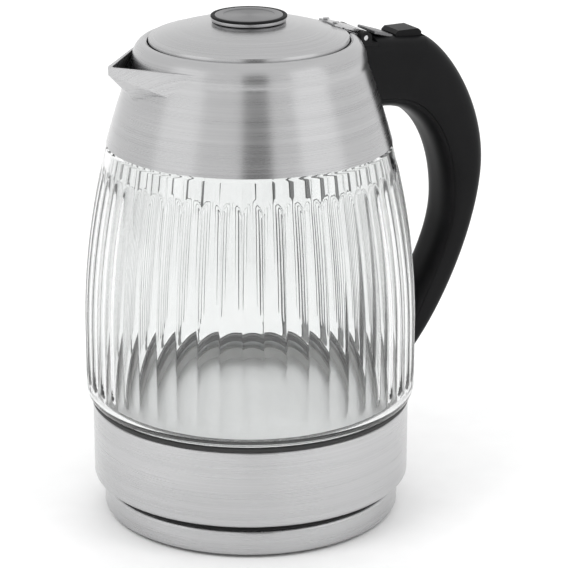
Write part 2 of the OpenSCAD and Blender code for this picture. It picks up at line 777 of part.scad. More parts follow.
// Side view of the handle: four stretches of its outer line and of its inner line
outer_line = [
    [[mouth_r + 2, top_z], [mouth_r + 12, top_z - 0.8], [knee_x - 16, knee_z + 1], [knee_x, knee_z]],
    [[knee_x, knee_z], [knee_x + 13, knee_z - 6], [hx - 0.2, grip_z + 29], [hx, grip_z]],
    [[hx, grip_z], [hx - 0.2, grip_z - 28], [hx - 17, glass_z + 30], [belly_r + 7.4, glass_z + 8]],
    [[belly_r + 7.4, glass_z + 8], [foot_out + 1.6, glass_z + 1], [foot_out, band_top - 6], [foot_out, foot_low_z]]];
inner_line = [
    [[mouth_r + 2, arm_low_z], [mouth_r + 12, arm_low_z], [belly_r - 8, arm_low_z], [belly_r - 5, arm_low_z - 1]],
    [[belly_r - 5, arm_low_z - 1], [hx - 33, arm_low_z - 4], [hx - grip_d - 0.6, grip_z + 8], [hx - grip_d, grip_z - 18]],
    [[hx - grip_d, grip_z - 18], [hx - grip_d + 0.6, grip_z - 44], [jar_side + 4, belly_z + 6], [jar_side, belly_z - 14]],
    [[jar_side, belly_z - 14], [jar_side, glass_z + 2], [foot_in, glass_z + 2], [foot_in, foot_low_z]]];
widths = [[arm_w, arm_w], [arm_w, grip_w], [grip_w, foot_w + 3], [foot_w + 3, foot_w]];
stretch_steps = [6, 11, 12, 8];

// Each station is [outer point, inner point, width]
stations = [for (k = [0 : 3]) for (i = [0 : stretch_steps[k] - (k == 3 ? 0 : 1)])
    let (t = i / stretch_steps[k]) [bezier(outer_line[k], t), bezier(inner_line[k], t),
        widths[k][0] + (widths[k][1] - widths[k][0]) * t]];

square_power = 3.2;
side_steps = 9;

// One section of the handle, cut along a chord a given depth from its inner line.
// side = 1 keeps the outer part and side = -1 the inner part; past moves the chord
// further, so that a hollow cuts clean through it.
function depth(s) = norm(s[0] - s[1]);
function cut_depth(s) = min(cover_d, depth(s) * 0.42);
function section(s, side, wall, past) =
    let (d = depth(s), out = (s[0] - s[1]) / d, mid = (s[0] + s[1]) / 2,
         half_d = d / 2 - wall, half_w = s[2] / 2 - wall,
         c = (side * (cut_depth(s) - d / 2) + fit / 2 - past) / half_d,
         last = c < 0 ? 180 - acos(pow(-c, square_power / 2)) : acos(pow(c, square_power / 2)),
         arc = [for (i = [-side_steps : side_steps]) let (a = last * i / side_steps)
            [side * half_d * sign(cos(a)) * pow(abs(cos(a)), 2 / square_power),
             half_w * sign(a) * pow(abs(sin(a)), 2 / square_power)]])
    [for (p = arc) [mid[0] + out[0] * p[0], p[1], mid[1] + out[1] * p[0]]];

// Skin over a list of sections with equal numbers of points
module sweep(rings, flip = false) {
    m = len(rings[0]);
    n = len(rings);
    points = [for (r = rings) for (p = r) p];
    sides = [for (i = [0 : n - 2]) for (j = [0 : m - 1])
        for (f = [[i * m + j, i * m + (j + 1) % m, (i + 1) * m + (j + 1) % m],
                  [i * m + j, (i + 1) * m + (j + 1) % m, (i + 1) * m + j]]) f];
    caps = [[for (j = [0 : m - 1]) m - 1 - j], [for (j = [0 : m - 1]) (n - 1) * m + j]];
    all_faces = concat(caps, sides);
    polyhedron(points, flip ? [for (f = all_faces) [for (k = [len(f) - 1 : -1 : 0]) f[k]]] : all_faces);
}

function some(list, first, last) = [for (i = [first : last]) list[i]];

// The hollow starts and ends a little inside the stations, so that its ends cross plain faces
hollow_first = 4;
hollow_last = 25;
function between(a, b, t) = [for (k = [0 : 2]) a[k] + (b[k] - a[k]) * t];
hollow_stations = concat([between(stations[hollow_first - 1], stations[hollow_first], 0.7)],
    some(stations, hollow_first, hollow_last),
    [between(stations[hollow_last], stations[hollow_last + 1], 0.8)]);

module switch_cut(grow, low) {
    // the outer end is longer, because the raised top swings that way
    swing = (knee_z + switch_proud - switch_pivot_z) * sin(switch_angle);
    translate([switch_x - switch_l / 2 - grow, -switch_w / 2 - grow, low])
        cube([switch_l + swing + 2 * grow, switch_w + 2 * grow, top_z + 20 - low]);
}

module handle_shell() {
    color(black) difference() {
        sweep([for (s = stations) section(s, 1, 0, 0)]);
        sweep([for (s = hollow_stations) section(s, 1, shell_wall, 0.8)]);
        body_space(0.35);
        // seat of the hinge and of the top plate
        translate([0, -block_w / 2 - fit, hinge_z - knuckle_r - 3.4 - fit]) cube([hinge_x + 6.4 + fit, block_w + 2 * fit, 40]);
        switch_cut(gap, knee_z - 16);
        for (z = arm_screws) translate([0, 0, z]) rotate([0, 90, 0])
            cylinder(r = screw_r + pin_fit, h = side_r(z) + arm_screw_l, $fn = fine);
        translate([0, 0, foot_screw_z]) rotate([0, 90, 0]) cylinder(r = screw_r + pin_fit, h = foot_out - 1.4, $fn = fine);
        translate([shoulder_r - 8, 0, duct_z]) rotate([0, 90, 0]) cylinder(r = duct_r + fit, h = 24, $fn = fine);
        lead_channel();
    }
}

module handle_cover() {
    color(black) difference() {
        sweep([for (s = stations) section(s, -1, 0, 0)], true);
        body_space(0.35);
        translate([0, 0, foot_screw_z]) rotate([0, 90, 0]) cylinder(r = screw_r + pin_fit, h = foot_out, $fn = fine);
        lead_channel();
    }
}

// Metal strip on the arm, between the hinge and the switch
plate_from = hinge_x + 6.6;
plate_to = switch_x - switch_l / 2 - 1.6;

module handle_top_plate() {
    color(dark_steel) difference() {
        hull() {
            translate([plate_from, -8, top_z - 0.2]) cube([1, 16, 1.2]);
            translate([plate_to - 1, -6.5, knee_z + 0.5]) cube([1, 13, 1.2]);
        }
        sweep([for (s = stations) section(s, 1, 0, 0)]);
    }
}

module handle_screws() {
    color(dark_steel) {
        for (z = arm_screws) translate([side_r(z) - sheet - 0.8, 0, z]) rotate([0, 90, 0])
            screw_up(arm_screw_l, head = 2.6);
        translate([band_r - band_wall - 0.2, 0, foot_screw_z]) rotate([0, 90, 0])
            screw_up(foot_out - 1.8 - band_r + band_wall, head = 2.8);
    }
}

// Switch mechanism: a block in the hollow of the handle, its two contacts and the steam disc
block_top = switch_pivot_z - 3.6;
block_h = 9;

module switch_block() {
    color([0.85, 0.84, 0.8]) difference() {
        union() {
            translate([switch_x - switch_l / 2, -6, block_top - block_h]) cube([switch_l, 12, block_h]);
            for (s = [-1, 1]) translate([switch_x - 2.4, s * 5 - 1, block_top - 1]) cube([4.8, 2, 4.6 + 2 * pivot_r]);
        }
        translate([switch_x, 20, switch_pivot_z]) rotate([90, 0, 0]) cylinder(r = pivot_r, h = 40, $fn = fine);
        translate([switch_x - switch_l / 2 - 1, -4.2, block_top - 5]) cube([4, 8.4, 3]);
    }
}

module switch_pivot() {
    color(steel) translate([switch_x, 6.4, switch_pivot_z]) rotate([90, 0, 0])
        cylinder(r = pivot_r, h = 12.8, $fn = fine);
}

module switch_contacts() {
    color(brass_tone) for (s = [-1, 1])
        translate([switch_x + 2, s * 3 - 0.9, block_top - block_h - 3]) cube([0.8, 1.8, 3]);
}

module steam_bimetal() {
    color(brass_tone) translate([switch_x - switch_l / 2 - 1.6, 0, block_top - 4]) rotate([0, 90, 0])
        cylinder(r = 3.8, h = 0.5, $fn = fine);
}

module switch_rocker() {
    low = switch_pivot_z - pivot_r - 1.4;
    top = knee_z + switch_proud;
    color(black) difference() {
        intersection() {
            union() {
                translate([switch_x - 2.6, -3.4, low]) cube([5.2, 6.8, knee_z - low]);
                translate([switch_x - switch_l / 2, -switch_w / 2, knee_z - 1]) cube([switch_l, switch_w, top - knee_z + 1]);
            }
            translate([switch_x, 30, switch_pivot_z]) rotate([90, 0, 0]) cylinder(r = top - switch_pivot_z + 1.6, h = 60);
        }
        translate([switch_x, 20, switch_pivot_z]) rotate([90, 0, 0]) cylinder(r = pivot_r + pin_fit, h = 40, $fn = fine);
    }
}

// Tube that leads steam from the mouth to the disc in the handle
module steam_duct() {
    duct_l = 19;
    color(black) translate([shoulder_r - 3.6, 0, duct_z]) rotate([0, 90, 0]) difference() {
        cylinder(r = duct_r, h = duct_l, $fn = fine);
        translate([0, 0, -1]) cylinder(r = duct_r - 0.8, h = duct_l + 2, $fn = fine);
    }
}

// Two insulated leads from the control up through the foot and the grip to the switch
lead_r = 0.8;
lead_z = foot_low_z + 9.5;
lead_path = concat(
    [[control_l / 2 + 0.5, control_z + 2], [control_l / 2 + 8, control_z + 2],
     [band_r - 8, lead_z], [band_r - 1, lead_z], [band_r + 1.8, lead_z + 2], [band_r + 2.4, lead_z + 6]],
    [for (i = [31 : -1 : 12]) (stations[i][0] + stations[i][1]) / 2],
    [[switch_x + 2.4, block_top - block_h - 10], [switch_x + 2.4, block_top - block_h - 3.2]]);

module lead(path, y) {
    sides = 8;
    n = len(path);
    sweep([for (i = [0 : n - 1])
        let (a = path[max(i - 1, 0)], b = path[min(i + 1, n - 1)], d = (b - a) / norm(b - a))
        [for (k = [0 : sides - 1]) let (q = 360 * k / sides)
            [path[i][0] - d[1] * lead_r * cos(q), y + lead_r * sin(q), path[i][1] + d[0] * lead_r * cos(q)]]]);
}

// Flat channel in the handle's foot that the two leads lie in
module lead_channel() {
    half_w = 1.3 + lead_r + 0.3;
    half_d = lead_r + 0.25;
    path = some(lead_path, 3, 20);
    n = len(path);
    sweep([for (i = [0 : n - 1])
        let (a = path[max(i - 1, 0)], b = path[min(i + 1, n - 1)], d = (b - a) / norm(b - a))
        [for (c = [[1, 1], [1, -1], [-1, -1], [-1, 1]])
            [path[i][0] - d[1] * half_d * c[0], half_w * c[1], path[i][1] + d[0] * half_d * c[0]]]], true);
}

module switch_leads() {
    color([0.6, 0.1, 0.08]) lead(lead_path, 1.3);
    color([0.1, 0.2, 0.5]) lead(lead_path, -1.3);
}

base_ring();
base_top_plate();
base_bottom_cover();
base_feet();
base_screws();
connector_body();
connector_contacts();
cord_gland();
slot_shutter();
steel_band();
bottom_cover();
bottom_screws();
plug_housing();
plug_contacts();
control_unit();
control_screws();
bimetal_discs();
heating_element();
element_pins();
heat_spreader();
heating_plate();
plate_clamp_ring();
jar_seal();
seam_ring();
glass_jar();
neck_seal();
collar();
collar_liner();
filter_frame();
filter_mesh();
hinge_block();
hinge_pin();
handle_shell();
handle_cover();
handle_top_plate();
handle_screws();
switch_block();
switch_contacts();
switch_pivot();
steam_bimetal();
steam_duct();
switch_leads();
lid_shell();
lid_pan();
lid_seal();
lid_hinge_leaf();
hinge_rivets();
knob_base();
knob_cap();
knob_disc();
knob_screw();
switch_rocker();
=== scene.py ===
"""Electric kettle: fluted glass jar, brushed steel collar and band, black handle, on a power base."""

import json
import math

import bmesh
import bpy
import numpy as np
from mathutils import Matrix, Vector

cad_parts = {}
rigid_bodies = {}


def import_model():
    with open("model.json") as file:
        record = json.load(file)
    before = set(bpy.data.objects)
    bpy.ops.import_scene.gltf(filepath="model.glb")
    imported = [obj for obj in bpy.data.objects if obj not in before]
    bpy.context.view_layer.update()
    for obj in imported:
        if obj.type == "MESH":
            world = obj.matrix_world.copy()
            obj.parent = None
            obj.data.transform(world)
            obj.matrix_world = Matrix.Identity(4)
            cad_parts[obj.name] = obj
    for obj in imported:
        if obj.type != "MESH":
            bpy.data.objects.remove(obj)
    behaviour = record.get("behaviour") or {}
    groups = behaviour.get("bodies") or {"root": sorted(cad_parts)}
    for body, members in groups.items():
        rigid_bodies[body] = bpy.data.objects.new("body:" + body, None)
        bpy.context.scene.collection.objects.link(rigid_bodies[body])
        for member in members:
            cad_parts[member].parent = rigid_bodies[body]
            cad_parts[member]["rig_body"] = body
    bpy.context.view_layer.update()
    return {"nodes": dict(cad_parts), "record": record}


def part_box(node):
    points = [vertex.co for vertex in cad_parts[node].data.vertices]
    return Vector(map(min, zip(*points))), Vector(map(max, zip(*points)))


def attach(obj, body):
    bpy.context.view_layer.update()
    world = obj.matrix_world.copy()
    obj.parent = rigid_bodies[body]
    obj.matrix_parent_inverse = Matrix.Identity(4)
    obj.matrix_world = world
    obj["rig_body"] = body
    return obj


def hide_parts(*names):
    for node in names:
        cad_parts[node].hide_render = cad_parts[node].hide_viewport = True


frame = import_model()

MM = 0.001
SUBPARTS = {s["node"]: s for s in frame["record"]["subparts"]}


def span(node):
    """Lowest and highest corner of a CAD node, in millimetres."""
    lo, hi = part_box(node)
    return lo / MM, hi / MM


def body_of(node):
    return frame["nodes"][node]["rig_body"]


# ---------------------------------------------------------------- sizes, in millimetres

# Worked out from the frame.
BELLY_R = min(span("glass_jar")[1].x, span("glass_jar")[1].y)
BAND_R = span("steel_band")[1].x
BAND_Z, BAND_TOP = span("steel_band")[0].z, span("steel_band")[1].z
SEAM_LOW, GLASS_Z = span("seam_ring")[0].z, span("seam_ring")[1].z
GLASS_LOW, GLASS_TOP = span("glass_jar")[0].z, span("glass_jar")[1].z
COLLAR_Z, RIM_Z = span("collar")[0].z, span("collar")[1].z
BASE_R = span("base_ring")[1].x
BASE_LOW, BASE_H = span("base_ring")[0].z, span("base_ring")[1].z
LID_R = span("lid_shell")[1].x
DOME_TOP = span("lid_shell")[1].z
SKIRT_R = span("knob_base")[1].x
CAP_LOW = span("knob_cap")[0].z
KNOB_R, KNOB_TOP = span("knob_cap")[1].x, span("knob_cap")[1].z
DISC_R, DISC_TOP = span("knob_disc")[1].x, span("knob_disc")[1].z
HANDLE_X = span("handle_shell")[1].x
SPOUT_X = -span("collar")[0].x
HINGE_LO, HINGE_HI = span("hinge_block")
ROCK_LO, ROCK_HI = span("switch_rocker")

# As in the CAD source.
LID_GAP = 0.7
SHEET = 0.9
WALL = 3.6
MOUTH_R = LID_R + LID_GAP
SHOULDER_R = MOUTH_R + 7.0
SHOULDER_Z = RIM_Z - 11.0
BELLY_Z = GLASS_Z + 33.8
FLARE = (BELLY_R - SHOULDER_R) / (SHOULDER_Z - BELLY_Z) ** 2
PROUD = 0.4

# Room round what is set into a cut, and how far a cut goes on above the rim.
SEAT_GAP = 0.2
CLEAR_ABOVE = 20

# Facets round the axis.
TURNS = 240
COLLAR_TURNS = 288
SMALL_TURNS = 160
JAR_TURNS = 1152


def side_r(z):
    """Radius of the jar and collar at a height: one parabola above the belly."""
    return float(BELLY_R - FLARE * np.maximum(z - BELLY_Z, 0) ** 2)


# ---------------------------------------------------------------- materials

RAMP_START, RAMP_END = 0.3, 0.7
METAL_RELIEF = 0.00002
MOULD_RELIEF = 0.00003
GLASS_RELIEF = 0.0004


class Shader:
    """Small builder for one material's nodes."""

    def __init__(self, name):
        self.m = bpy.data.materials.new(name)
        self.m.use_nodes = True
        self.t = self.m.node_tree
        self.bsdf = self.t.nodes["Principled BSDF"]
        self.coord = self.t.nodes.new("ShaderNodeTexCoord")

    def put(self, socket, value):
        self.bsdf.inputs[socket].default_value = value

    def link(self, a, b):
        self.t.links.new(a, b)

    def math(self, kind, a, b=None):
        n = self.t.nodes.new("ShaderNodeMath")
        n.operation = kind
        for i, x in enumerate((a, b)):
            if isinstance(x, (int, float)):
                n.inputs[i].default_value = x
            elif x is not None:
                self.link(x, n.inputs[i])
        return n.outputs[0]

    def mix(self, a, b, share):
        """A share of a, and the rest of b."""
        return self.math("ADD", self.math("MULTIPLY", a, share), self.math("MULTIPLY", b, 1 - share))

    def stretched(self, x, y, z):
        n = self.t.nodes.new("ShaderNodeMapping")
        n.inputs["Scale"].default_value = (x, y, z)
        self.link(self.coord.outputs["Object"], n.inputs["Vector"])
        return n.outputs[0]

    def even(self, scale):
        return self.stretched(scale, scale, scale)

    def round_streaks(self, around, across):
        """Coordinates that change slowly round the axis and fast along height and radius."""
        split = self.t.nodes.new("ShaderNodeSeparateXYZ")
        self.link(self.coord.outputs["Object"], split.inputs[0])
        x, y, z = split.outputs
        r = self.math("SQRT", self.math("ADD", self.math("MULTIPLY", x, x), self.math("MULTIPLY", y, y)))
        join = self.t.nodes.new("ShaderNodeCombineXYZ")
        self.link(self.math("MULTIPLY", x, around), join.inputs[0])
        self.link(self.math("MULTIPLY", y, around), join.inputs[1])
        self.link(self.math("MULTIPLY", self.math("ADD", z, r), across), join.inputs[2])
        return join.outputs[0]

    def noise(self, vector, detail=3.0, roughness=0.55):
        n = self.t.nodes.new("ShaderNodeTexNoise")
        n.inputs["Scale"].default_value = 1.0
        n.inputs["Detail"].default_value = detail
        n.inputs["Roughness"].default_value = roughness
        self.link(vector, n.inputs["Vector"])
        return n.outputs["Fac"]

    def colour(self, fac, dark, light):
        n = self.t.nodes.new("ShaderNodeValToRGB")
        n.color_ramp.elements[0].position = RAMP_START
        n.color_ramp.elements[1].position = RAMP_END
        n.color_ramp.elements[0].color = (*dark, 1)
        n.color_ramp.elements[1].color = (*light, 1)
        self.link(fac, n.inputs["Fac"])
        self.link(n.outputs[0], self.bsdf.inputs["Base Color"])

    def rough(self, fac, low, high):
        n = self.t.nodes.new("ShaderNodeMapRange")
        n.inputs["From Min"].default_value = RAMP_START
        n.inputs["From Max"].default_value = RAMP_END
        n.inputs["To Min"].default_value = low
        n.inputs["To Max"].default_value = high
        self.link(fac, n.inputs["Value"])
        self.link(n.outputs[0], self.bsdf.inputs["Roughness"])

    def bump(self, fac, strength, distance):
        n = self.t.nodes.new("ShaderNodeBump")
        n.inputs["Strength"].default_value = strength
        n.inputs["Distance"].default_value = distance
        self.link(fac, n.inputs["Height"])
        self.link(n.outputs[0], self.bsdf.inputs["Normal"])


def brushed(name, dark, light, rough, streak=2600.0, stretch=0.75):
    """Steel brushed round the axis: fine rings, soft smudges, highlights drawn out along the height."""
    s = Shader(name)
    s.put("Metallic", 1.0)
    s.put("Anisotropic", stretch)
    s.put("Anisotropic Rotation", 0.25)
    tangent = s.t.nodes.new("ShaderNodeTangent")
    tangent.direction_type = "RADIAL"
    tangent.axis = "Z"
    s.link(tangent.outputs[0], s.bsdf.inputs["Tangent"])
    fine = s.noise(s.round_streaks(around=9.0, across=streak), detail=4.0, roughness=0.7)
    wide = s.noise(s.round_streaks(around=5.0, across=streak * 0.22), detail=2.0)
    smudge = s.noise(s.stretched(18.0, 18.0, 26.0))
    lines = s.mix(fine, wide, 0.65)
    s.colour(lines, dark, light)
    s.rough(s.mix(lines, smudge, 0.6), rough - 0.05, rough + 0.07)
    s.bump(fine, strength=0.25, distance=METAL_RELIEF)
    return s.m


def plain_metal(name, dark, light, rough):
    """Metal without a grain direction: turned, pressed or cast."""
    s = Shader(name)
    s.put("Metallic", 1.0)
    fine = s.noise(s.even(700.0))
    soft = s.noise(s.even(45.0), detail=2.0)
    s.colour(s.mix(fine, soft, 0.5), dark, light)
    s.rough(fine, rough - 0.06, rough + 0.08)
    s.bump(fine, strength=0.15, distance=METAL_RELIEF)
    return s.m


def moulded(name, dark, light, rough, grain=1500.0, specular=0.5):
    """Moulded plastic or rubber: spark-eroded grain with faint flow marks."""
    s = Shader(name)
    s.put("Specular IOR Level", specular)
    fine = s.noise(s.even(grain), detail=2.0, roughness=0.6)
    flow = s.noise(s.even(30.0), detail=4.0)
    s.colour(s.mix(fine, flow, 0.35), dark, light)
    s.rough(s.mix(fine, flow, 0.4), rough - 0.05, rough + 0.06)
    s.bump(fine, strength=0.25, distance=MOULD_RELIEF)
    return s.m


def clear(name):
    """Pressed glass: even and clear, with faint waves and a slight haze."""
    s = Shader(name)
    s.put("Transmission Weight", 1.0)
    s.put("IOR", 1.5)
    waves = s.noise(s.stretched(34.0, 34.0, 12.0), detail=1.0, roughness=0.4)
    haze = s.noise(s.even(60.0))
    s.colour(haze, (0.855, 0.865, 0.862), (0.88, 0.888, 0.886))
    s.rough(haze, 0.0, 0.02)
    s.bump(waves, strength=0.12, distance=GLASS_RELIEF)
    return s.m


STEEL = brushed("steel_brushed", (0.45, 0.45, 0.455), (0.55, 0.55, 0.555), 0.27)
LID_STEEL = brushed(
    "steel_lid", (0.44, 0.44, 0.445), (0.54, 0.54, 0.545), 0.24, streak=1900.0, stretch=0.5)
PLATE = brushed(
    "steel_plate", (0.86, 0.86, 0.86), (0.94, 0.94, 0.94), 0.5, streak=1400.0, stretch=0.1)
KNOB_STEEL = brushed(
    "steel_knob", (0.36, 0.36, 0.365), (0.46, 0.46, 0.465), 0.3, streak=2200.0, stretch=0.5)
DARK_METAL = brushed(
    "metal_dark", (0.14, 0.14, 0.145), (0.21, 0.21, 0.215), 0.33, streak=2200.0, stretch=0.5)
RUBBER_GRAIN = 1100.0
FINISHES = {
    "brushed_steel": STEEL,
    "plate_steel": PLATE,
    "dark_metal": DARK_METAL,
    "fastener_steel": plain_metal("steel_fastener", (0.5, 0.5, 0.51), (0.62, 0.62, 0.63), 0.32),
    "element_steel": plain_metal("steel_element", (0.3, 0.27, 0.24), (0.42, 0.39, 0.36), 0.4),
    "spreader_aluminium": plain_metal("aluminium", (0.62, 0.62, 0.63), (0.74, 0.74, 0.75), 0.42),
    "contact_brass": plain_metal("brass", (0.58, 0.4, 0.16), (0.72, 0.53, 0.25), 0.3),
    "black_plastic": moulded(
        "plastic_black", (0.006, 0.006, 0.0065), (0.012, 0.012, 0.0125), 0.55, specular=0.12),
    "handle_plastic": moulded(
        "plastic_handle", (0.004, 0.004, 0.0045), (0.008, 0.008, 0.0085), 0.38, 1900.0, specular=0.1),
    "control_plastic": moulded("plastic_control", (0.55, 0.53, 0.48), (0.66, 0.64, 0.6), 0.5),
    "lead_insulation": moulded("insulation", (0.26, 0.03, 0.025), (0.36, 0.05, 0.04), 0.45),
    "foot_rubber": moulded(
        "rubber_foot", (0.012, 0.012, 0.012), (0.026, 0.026, 0.026), 0.75, RUBBER_GRAIN),
    "seal_rubber": moulded(
        "rubber_seal", (0.01, 0.01, 0.01), (0.022, 0.022, 0.022), 0.6, RUBBER_GRAIN),
    "lid_silicone": moulded("silicone", (0.5, 0.5, 0.49), (0.63, 0.63, 0.62), 0.5, RUBBER_GRAIN),
    "clear_glass": clear("glass_clear"),
}

for node, obj in frame["nodes"].items():
    obj.data.materials.clear()
    obj.data.materials.append(FINISHES[SUBPARTS[node]["material_slot"]])
for node in ("lid_hinge_leaf", "hinge_rivets"):
    frame["nodes"][node].data.materials[0] = LID_STEEL

# ---------------------------------------------------------------- mesh helpers

ON_AXIS = 1e-6
CORNER_STEPS = 3
CORNER_SHARE = 0.4
LEAST_BEND = 20.0


def add_mesh(name, made):
    """Object in the scene, from (points in mm, faces)."""
    points, faces = made
    mesh = bpy.data.meshes.new(name)
    scaled = [tuple(p * MM for p in point) for point in points]
    mesh.from_pydata(scaled, [], [tuple(int(i) for i in face) for face in faces])
    obj = bpy.data.objects.new(name, mesh)
    bpy.context.scene.collection.objects.link(obj)
    return obj


def piece(name, made, like, material=None, angle=38.0, cutters=()):
    """A shown piece, from (points in mm, faces), in place of the CAD node `like`."""
    obj = add_mesh(name, made)
    obj.data.validate()
    for cutter in cutters:
        cut(obj, cutter)
    finish_mesh(obj, material or FINISHES[SUBPARTS[like]["material_slot"]], angle)
    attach(obj, body_of(like))
    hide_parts(like)


def finish_mesh(obj, material, angle):
    """One material, and smooth shading with edges sharp above an angle in degrees."""
    obj.data.materials.clear()
    obj.data.materials.append(material)
    for polygon in obj.data.polygons:
        polygon.use_smooth = True
        polygon.material_index = 0
    obj.data.set_sharp_from_angle(angle=math.radians(angle))


def cut(obj, made):
    """Takes a closed solid, given as (points in mm, faces), out of obj's mesh."""
    tool = add_mesh("cutter", made)
    way = obj.modifiers.new("cut", "BOOLEAN")
    way.operation = "DIFFERENCE"
    way.solver = "EXACT"
    way.object = tool
    bpy.context.view_layer.update()
    result = bpy.data.meshes.new_from_object(obj.evaluated_get(bpy.context.evaluated_depsgraph_get()))
    obj.modifiers.clear()
    obj.data = result
    bpy.data.objects.remove(tool)


def lathe(outline, turns, radius=None):
    """Solid of revolution from a closed outline of (radius, height).

    radius(angles, r, z, i), where it is given, says how far out ring i lies at each angle.
    """
    angles = np.linspace(0, 2 * math.pi, turns, endpoint=False)
    points, rings = [], []
    for i, (r, z) in enumerate(outline):
        if r < ON_AXIS:
            rings.append([len(points)] * turns)
            points.append((0.0, 0.0, z))
        else:
            radii = np.full(turns, r) if radius is None else radius(angles, r, z, i)
            rings.append(list(range(len(points), len(points) + turns)))
            points += [(q * math.cos(a), q * math.sin(a), z) for q, a in zip(radii, angles)]
    faces = []
    for one, other in zip(rings, rings[1:] + rings[:1]):
        if one[0] == one[1] and other[0] == other[1]:
            continue
        for k in range(turns):
            m = (k + 1) % turns
            quad = [one[k], one[m], other[m], other[k]]
            faces.append([q for j, q in enumerate(quad) if q != quad[j - 1]])
    return points, faces


def softened(outline, size):
    """A closed outline with its corners rounded over about a size."""
    rounded = []
    count = len(outline)
    for i in range(count):
        before, corner, after = (np.array(outline[(i + k) % count], float) for k in (-1, 0, 1))
        back, ahead = before - corner, after - corner
        back_length, ahead_length = np.linalg.norm(back), np.linalg.norm(ahead)
        cosine = np.clip(back @ ahead / (back_length * ahead_length), -1, 1)
        if 180 - math.degrees(math.acos(cosine)) < LEAST_BEND or corner[0] < ON_AXIS:
            rounded.append(tuple(corner))
            continue
        reach = min(size, back_length * CORNER_SHARE, ahead_length * CORNER_SHARE)
        start, end = corner + back / back_length * reach, corner + ahead / ahead_length * reach
        for t in np.linspace(0, 1, CORNER_STEPS + 1):
            rounded.append(tuple((1 - t) ** 2 * start + 2 * t * (1 - t) * corner + t**2 * end))
    return rounded


def block(lo, hi):
    """Points and faces of a box, for cutting."""
    points = [(x, y, z) for x in (lo[0], hi[0]) for y in (lo[1], hi[1]) for z in (lo[2], hi[2])]
    return points, [(0, 1, 3, 2), (4, 6, 7, 5), (0, 4, 5, 1), (2, 3, 7, 6), (0, 2, 6, 4), (1, 5, 7, 3)]


def swept(rings):
    """Closed skin over rings of equal length."""
    m, n = len(rings[0]), len(rings)
    points = [tuple(p) for r in rings for p in r]
    faces = [(i * m + j, i * m + (j + 1) % m, (i + 1) * m + (j + 1) % m, (i + 1) * m + j)
             for i in range(n - 1) for j in range(m)]
    faces += [tuple(range(m - 1, -1, -1)), tuple((n - 1) * m + j for j in range(m))]
    return points, faces


def disc(x, y, r, z, turns):
    """Points of a level circle."""
    angles = np.linspace(0, 2 * math.pi, turns, endpoint=False)
    return [(x + r * math.cos(a), y + r * math.sin(a), z) for a in angles]


def hull(points):
    """Convex hull of points, as (points, faces)."""
    bm = bmesh.new()
    for p in points:
        bm.verts.new(p)
    bmesh.ops.convex_hull(bm, input=bm.verts[:])
    bmesh.ops.delete(bm, geom=[v for v in bm.verts if not v.link_faces], context="VERTS")
    bmesh.ops.recalc_face_normals(bm, faces=bm.faces[:])
    bm.verts.index_update()
    made = [tuple(v.co) for v in bm.verts], [tuple(v.index for v in f.verts) for f in bm.faces]
    bm.free()
    return made


# ---------------------------------------------------------------- power base, band and seam

RING_LIP, RING_FOOT, RING_WALL = 2.4, 2.4, 1.2


def base_ring_outline():
    """Steel ring of the power base: a wall with a lip over the top plate and a foot turned in."""
    inside, foot_top, bevel = BASE_R - RING_WALL, BASE_LOW + 1.6, 1
    return [
        (BASE_R - RING_FOOT, BASE_LOW), (BASE_R - 0.8, BASE_LOW), (BASE_R, BASE_LOW + 1.2),
        (BASE_R, BASE_H - bevel), (BASE_R - bevel, BASE_H), (BASE_R - RING_LIP, BASE_H),
        (BASE_R - RING_LIP, BASE_H - RING_WALL), (inside, BASE_H - RING_WALL),
        (inside, foot_top), (BASE_R - RING_FOOT, foot_top)]


def band_outline():
    """Steel band: a thin wall with its foot turned in and its top edge bevelled."""
    inner_foot, bevel = BAND_R - 2.4, 0.6
    return [
        (inner_foot, BAND_Z), (BAND_R - 1, BAND_Z), (BAND_R, BAND_Z + 1.2), (BAND_R, BAND_TOP - bevel),
        (BAND_R - bevel, BAND_TOP), (BAND_R - 0.9, BAND_TOP), (BAND_R - 0.8, BAND_Z + 1.8),
        (inner_foot, BAND_Z + 1)]


def seam_outline():
    """Black ring between band and glass, a little prouder than the band."""
    inside, crown, edge = BAND_R - 1.5, BAND_R + 0.5, BAND_R + 0.2
    return [
        (inside, SEAM_LOW), (BAND_R - 0.2, SEAM_LOW), (crown, SEAM_LOW + 0.55),
        (crown, GLASS_Z - 0.5), (edge, GLASS_Z), (inside, GLASS_Z)]


piece("base_ring_skin", lathe(softened(base_ring_outline(), 0.6), TURNS), "base_ring")
piece("band_skin", lathe(softened(band_outline(), 0.6), TURNS), "steel_band")
piece("seam_skin", lathe(softened(seam_outline(), 0.3), TURNS), "seam_ring")

# ---------------------------------------------------------------- glass jar with flutes

FLUTES = 48
FLUTE_DEPTH = 0.75
FLUTE_LOW, FLUTE_HIGH = GLASS_Z + 8.5, COLLAR_Z - 10.0
ARCH = 7.0
FOOT_R = BAND_R - 1.6
FOOT_RISE, FOOT_BEND = 0.3, 5.6
BEND_STEPS, JAR_STEPS = 13, 110
SIDE_LOW = BELLY_Z - 26
NECK_IN, NECK_STEP = 2.4, 0.6


def jar_outline(inset):
    """One side of the jar's wall: foot, quarter bend, fluted side, and the neck inside the collar."""
    rise = GLASS_Z + FOOT_RISE + inset * 0.4
    line = [(FOOT_R - inset, GLASS_LOW), (FOOT_R - inset, rise)]
    for a in np.radians(np.linspace(0, 90, BEND_STEPS)):
        out, up = (BELLY_R - BAND_R) * math.sin(a), FOOT_BEND * (1 - math.cos(a))
        line.append((BAND_R - inset + out, rise + up))
    for z in np.linspace(SIDE_LOW, COLLAR_Z - 1, JAR_STEPS):
        line.append((side_r(z) - inset, float(z)))
    line.append((side_r(COLLAR_Z) - NECK_IN - inset, COLLAR_Z + NECK_STEP))
    line.append((side_r(GLASS_TOP) - NECK_IN - inset, GLASS_TOP))
    return line


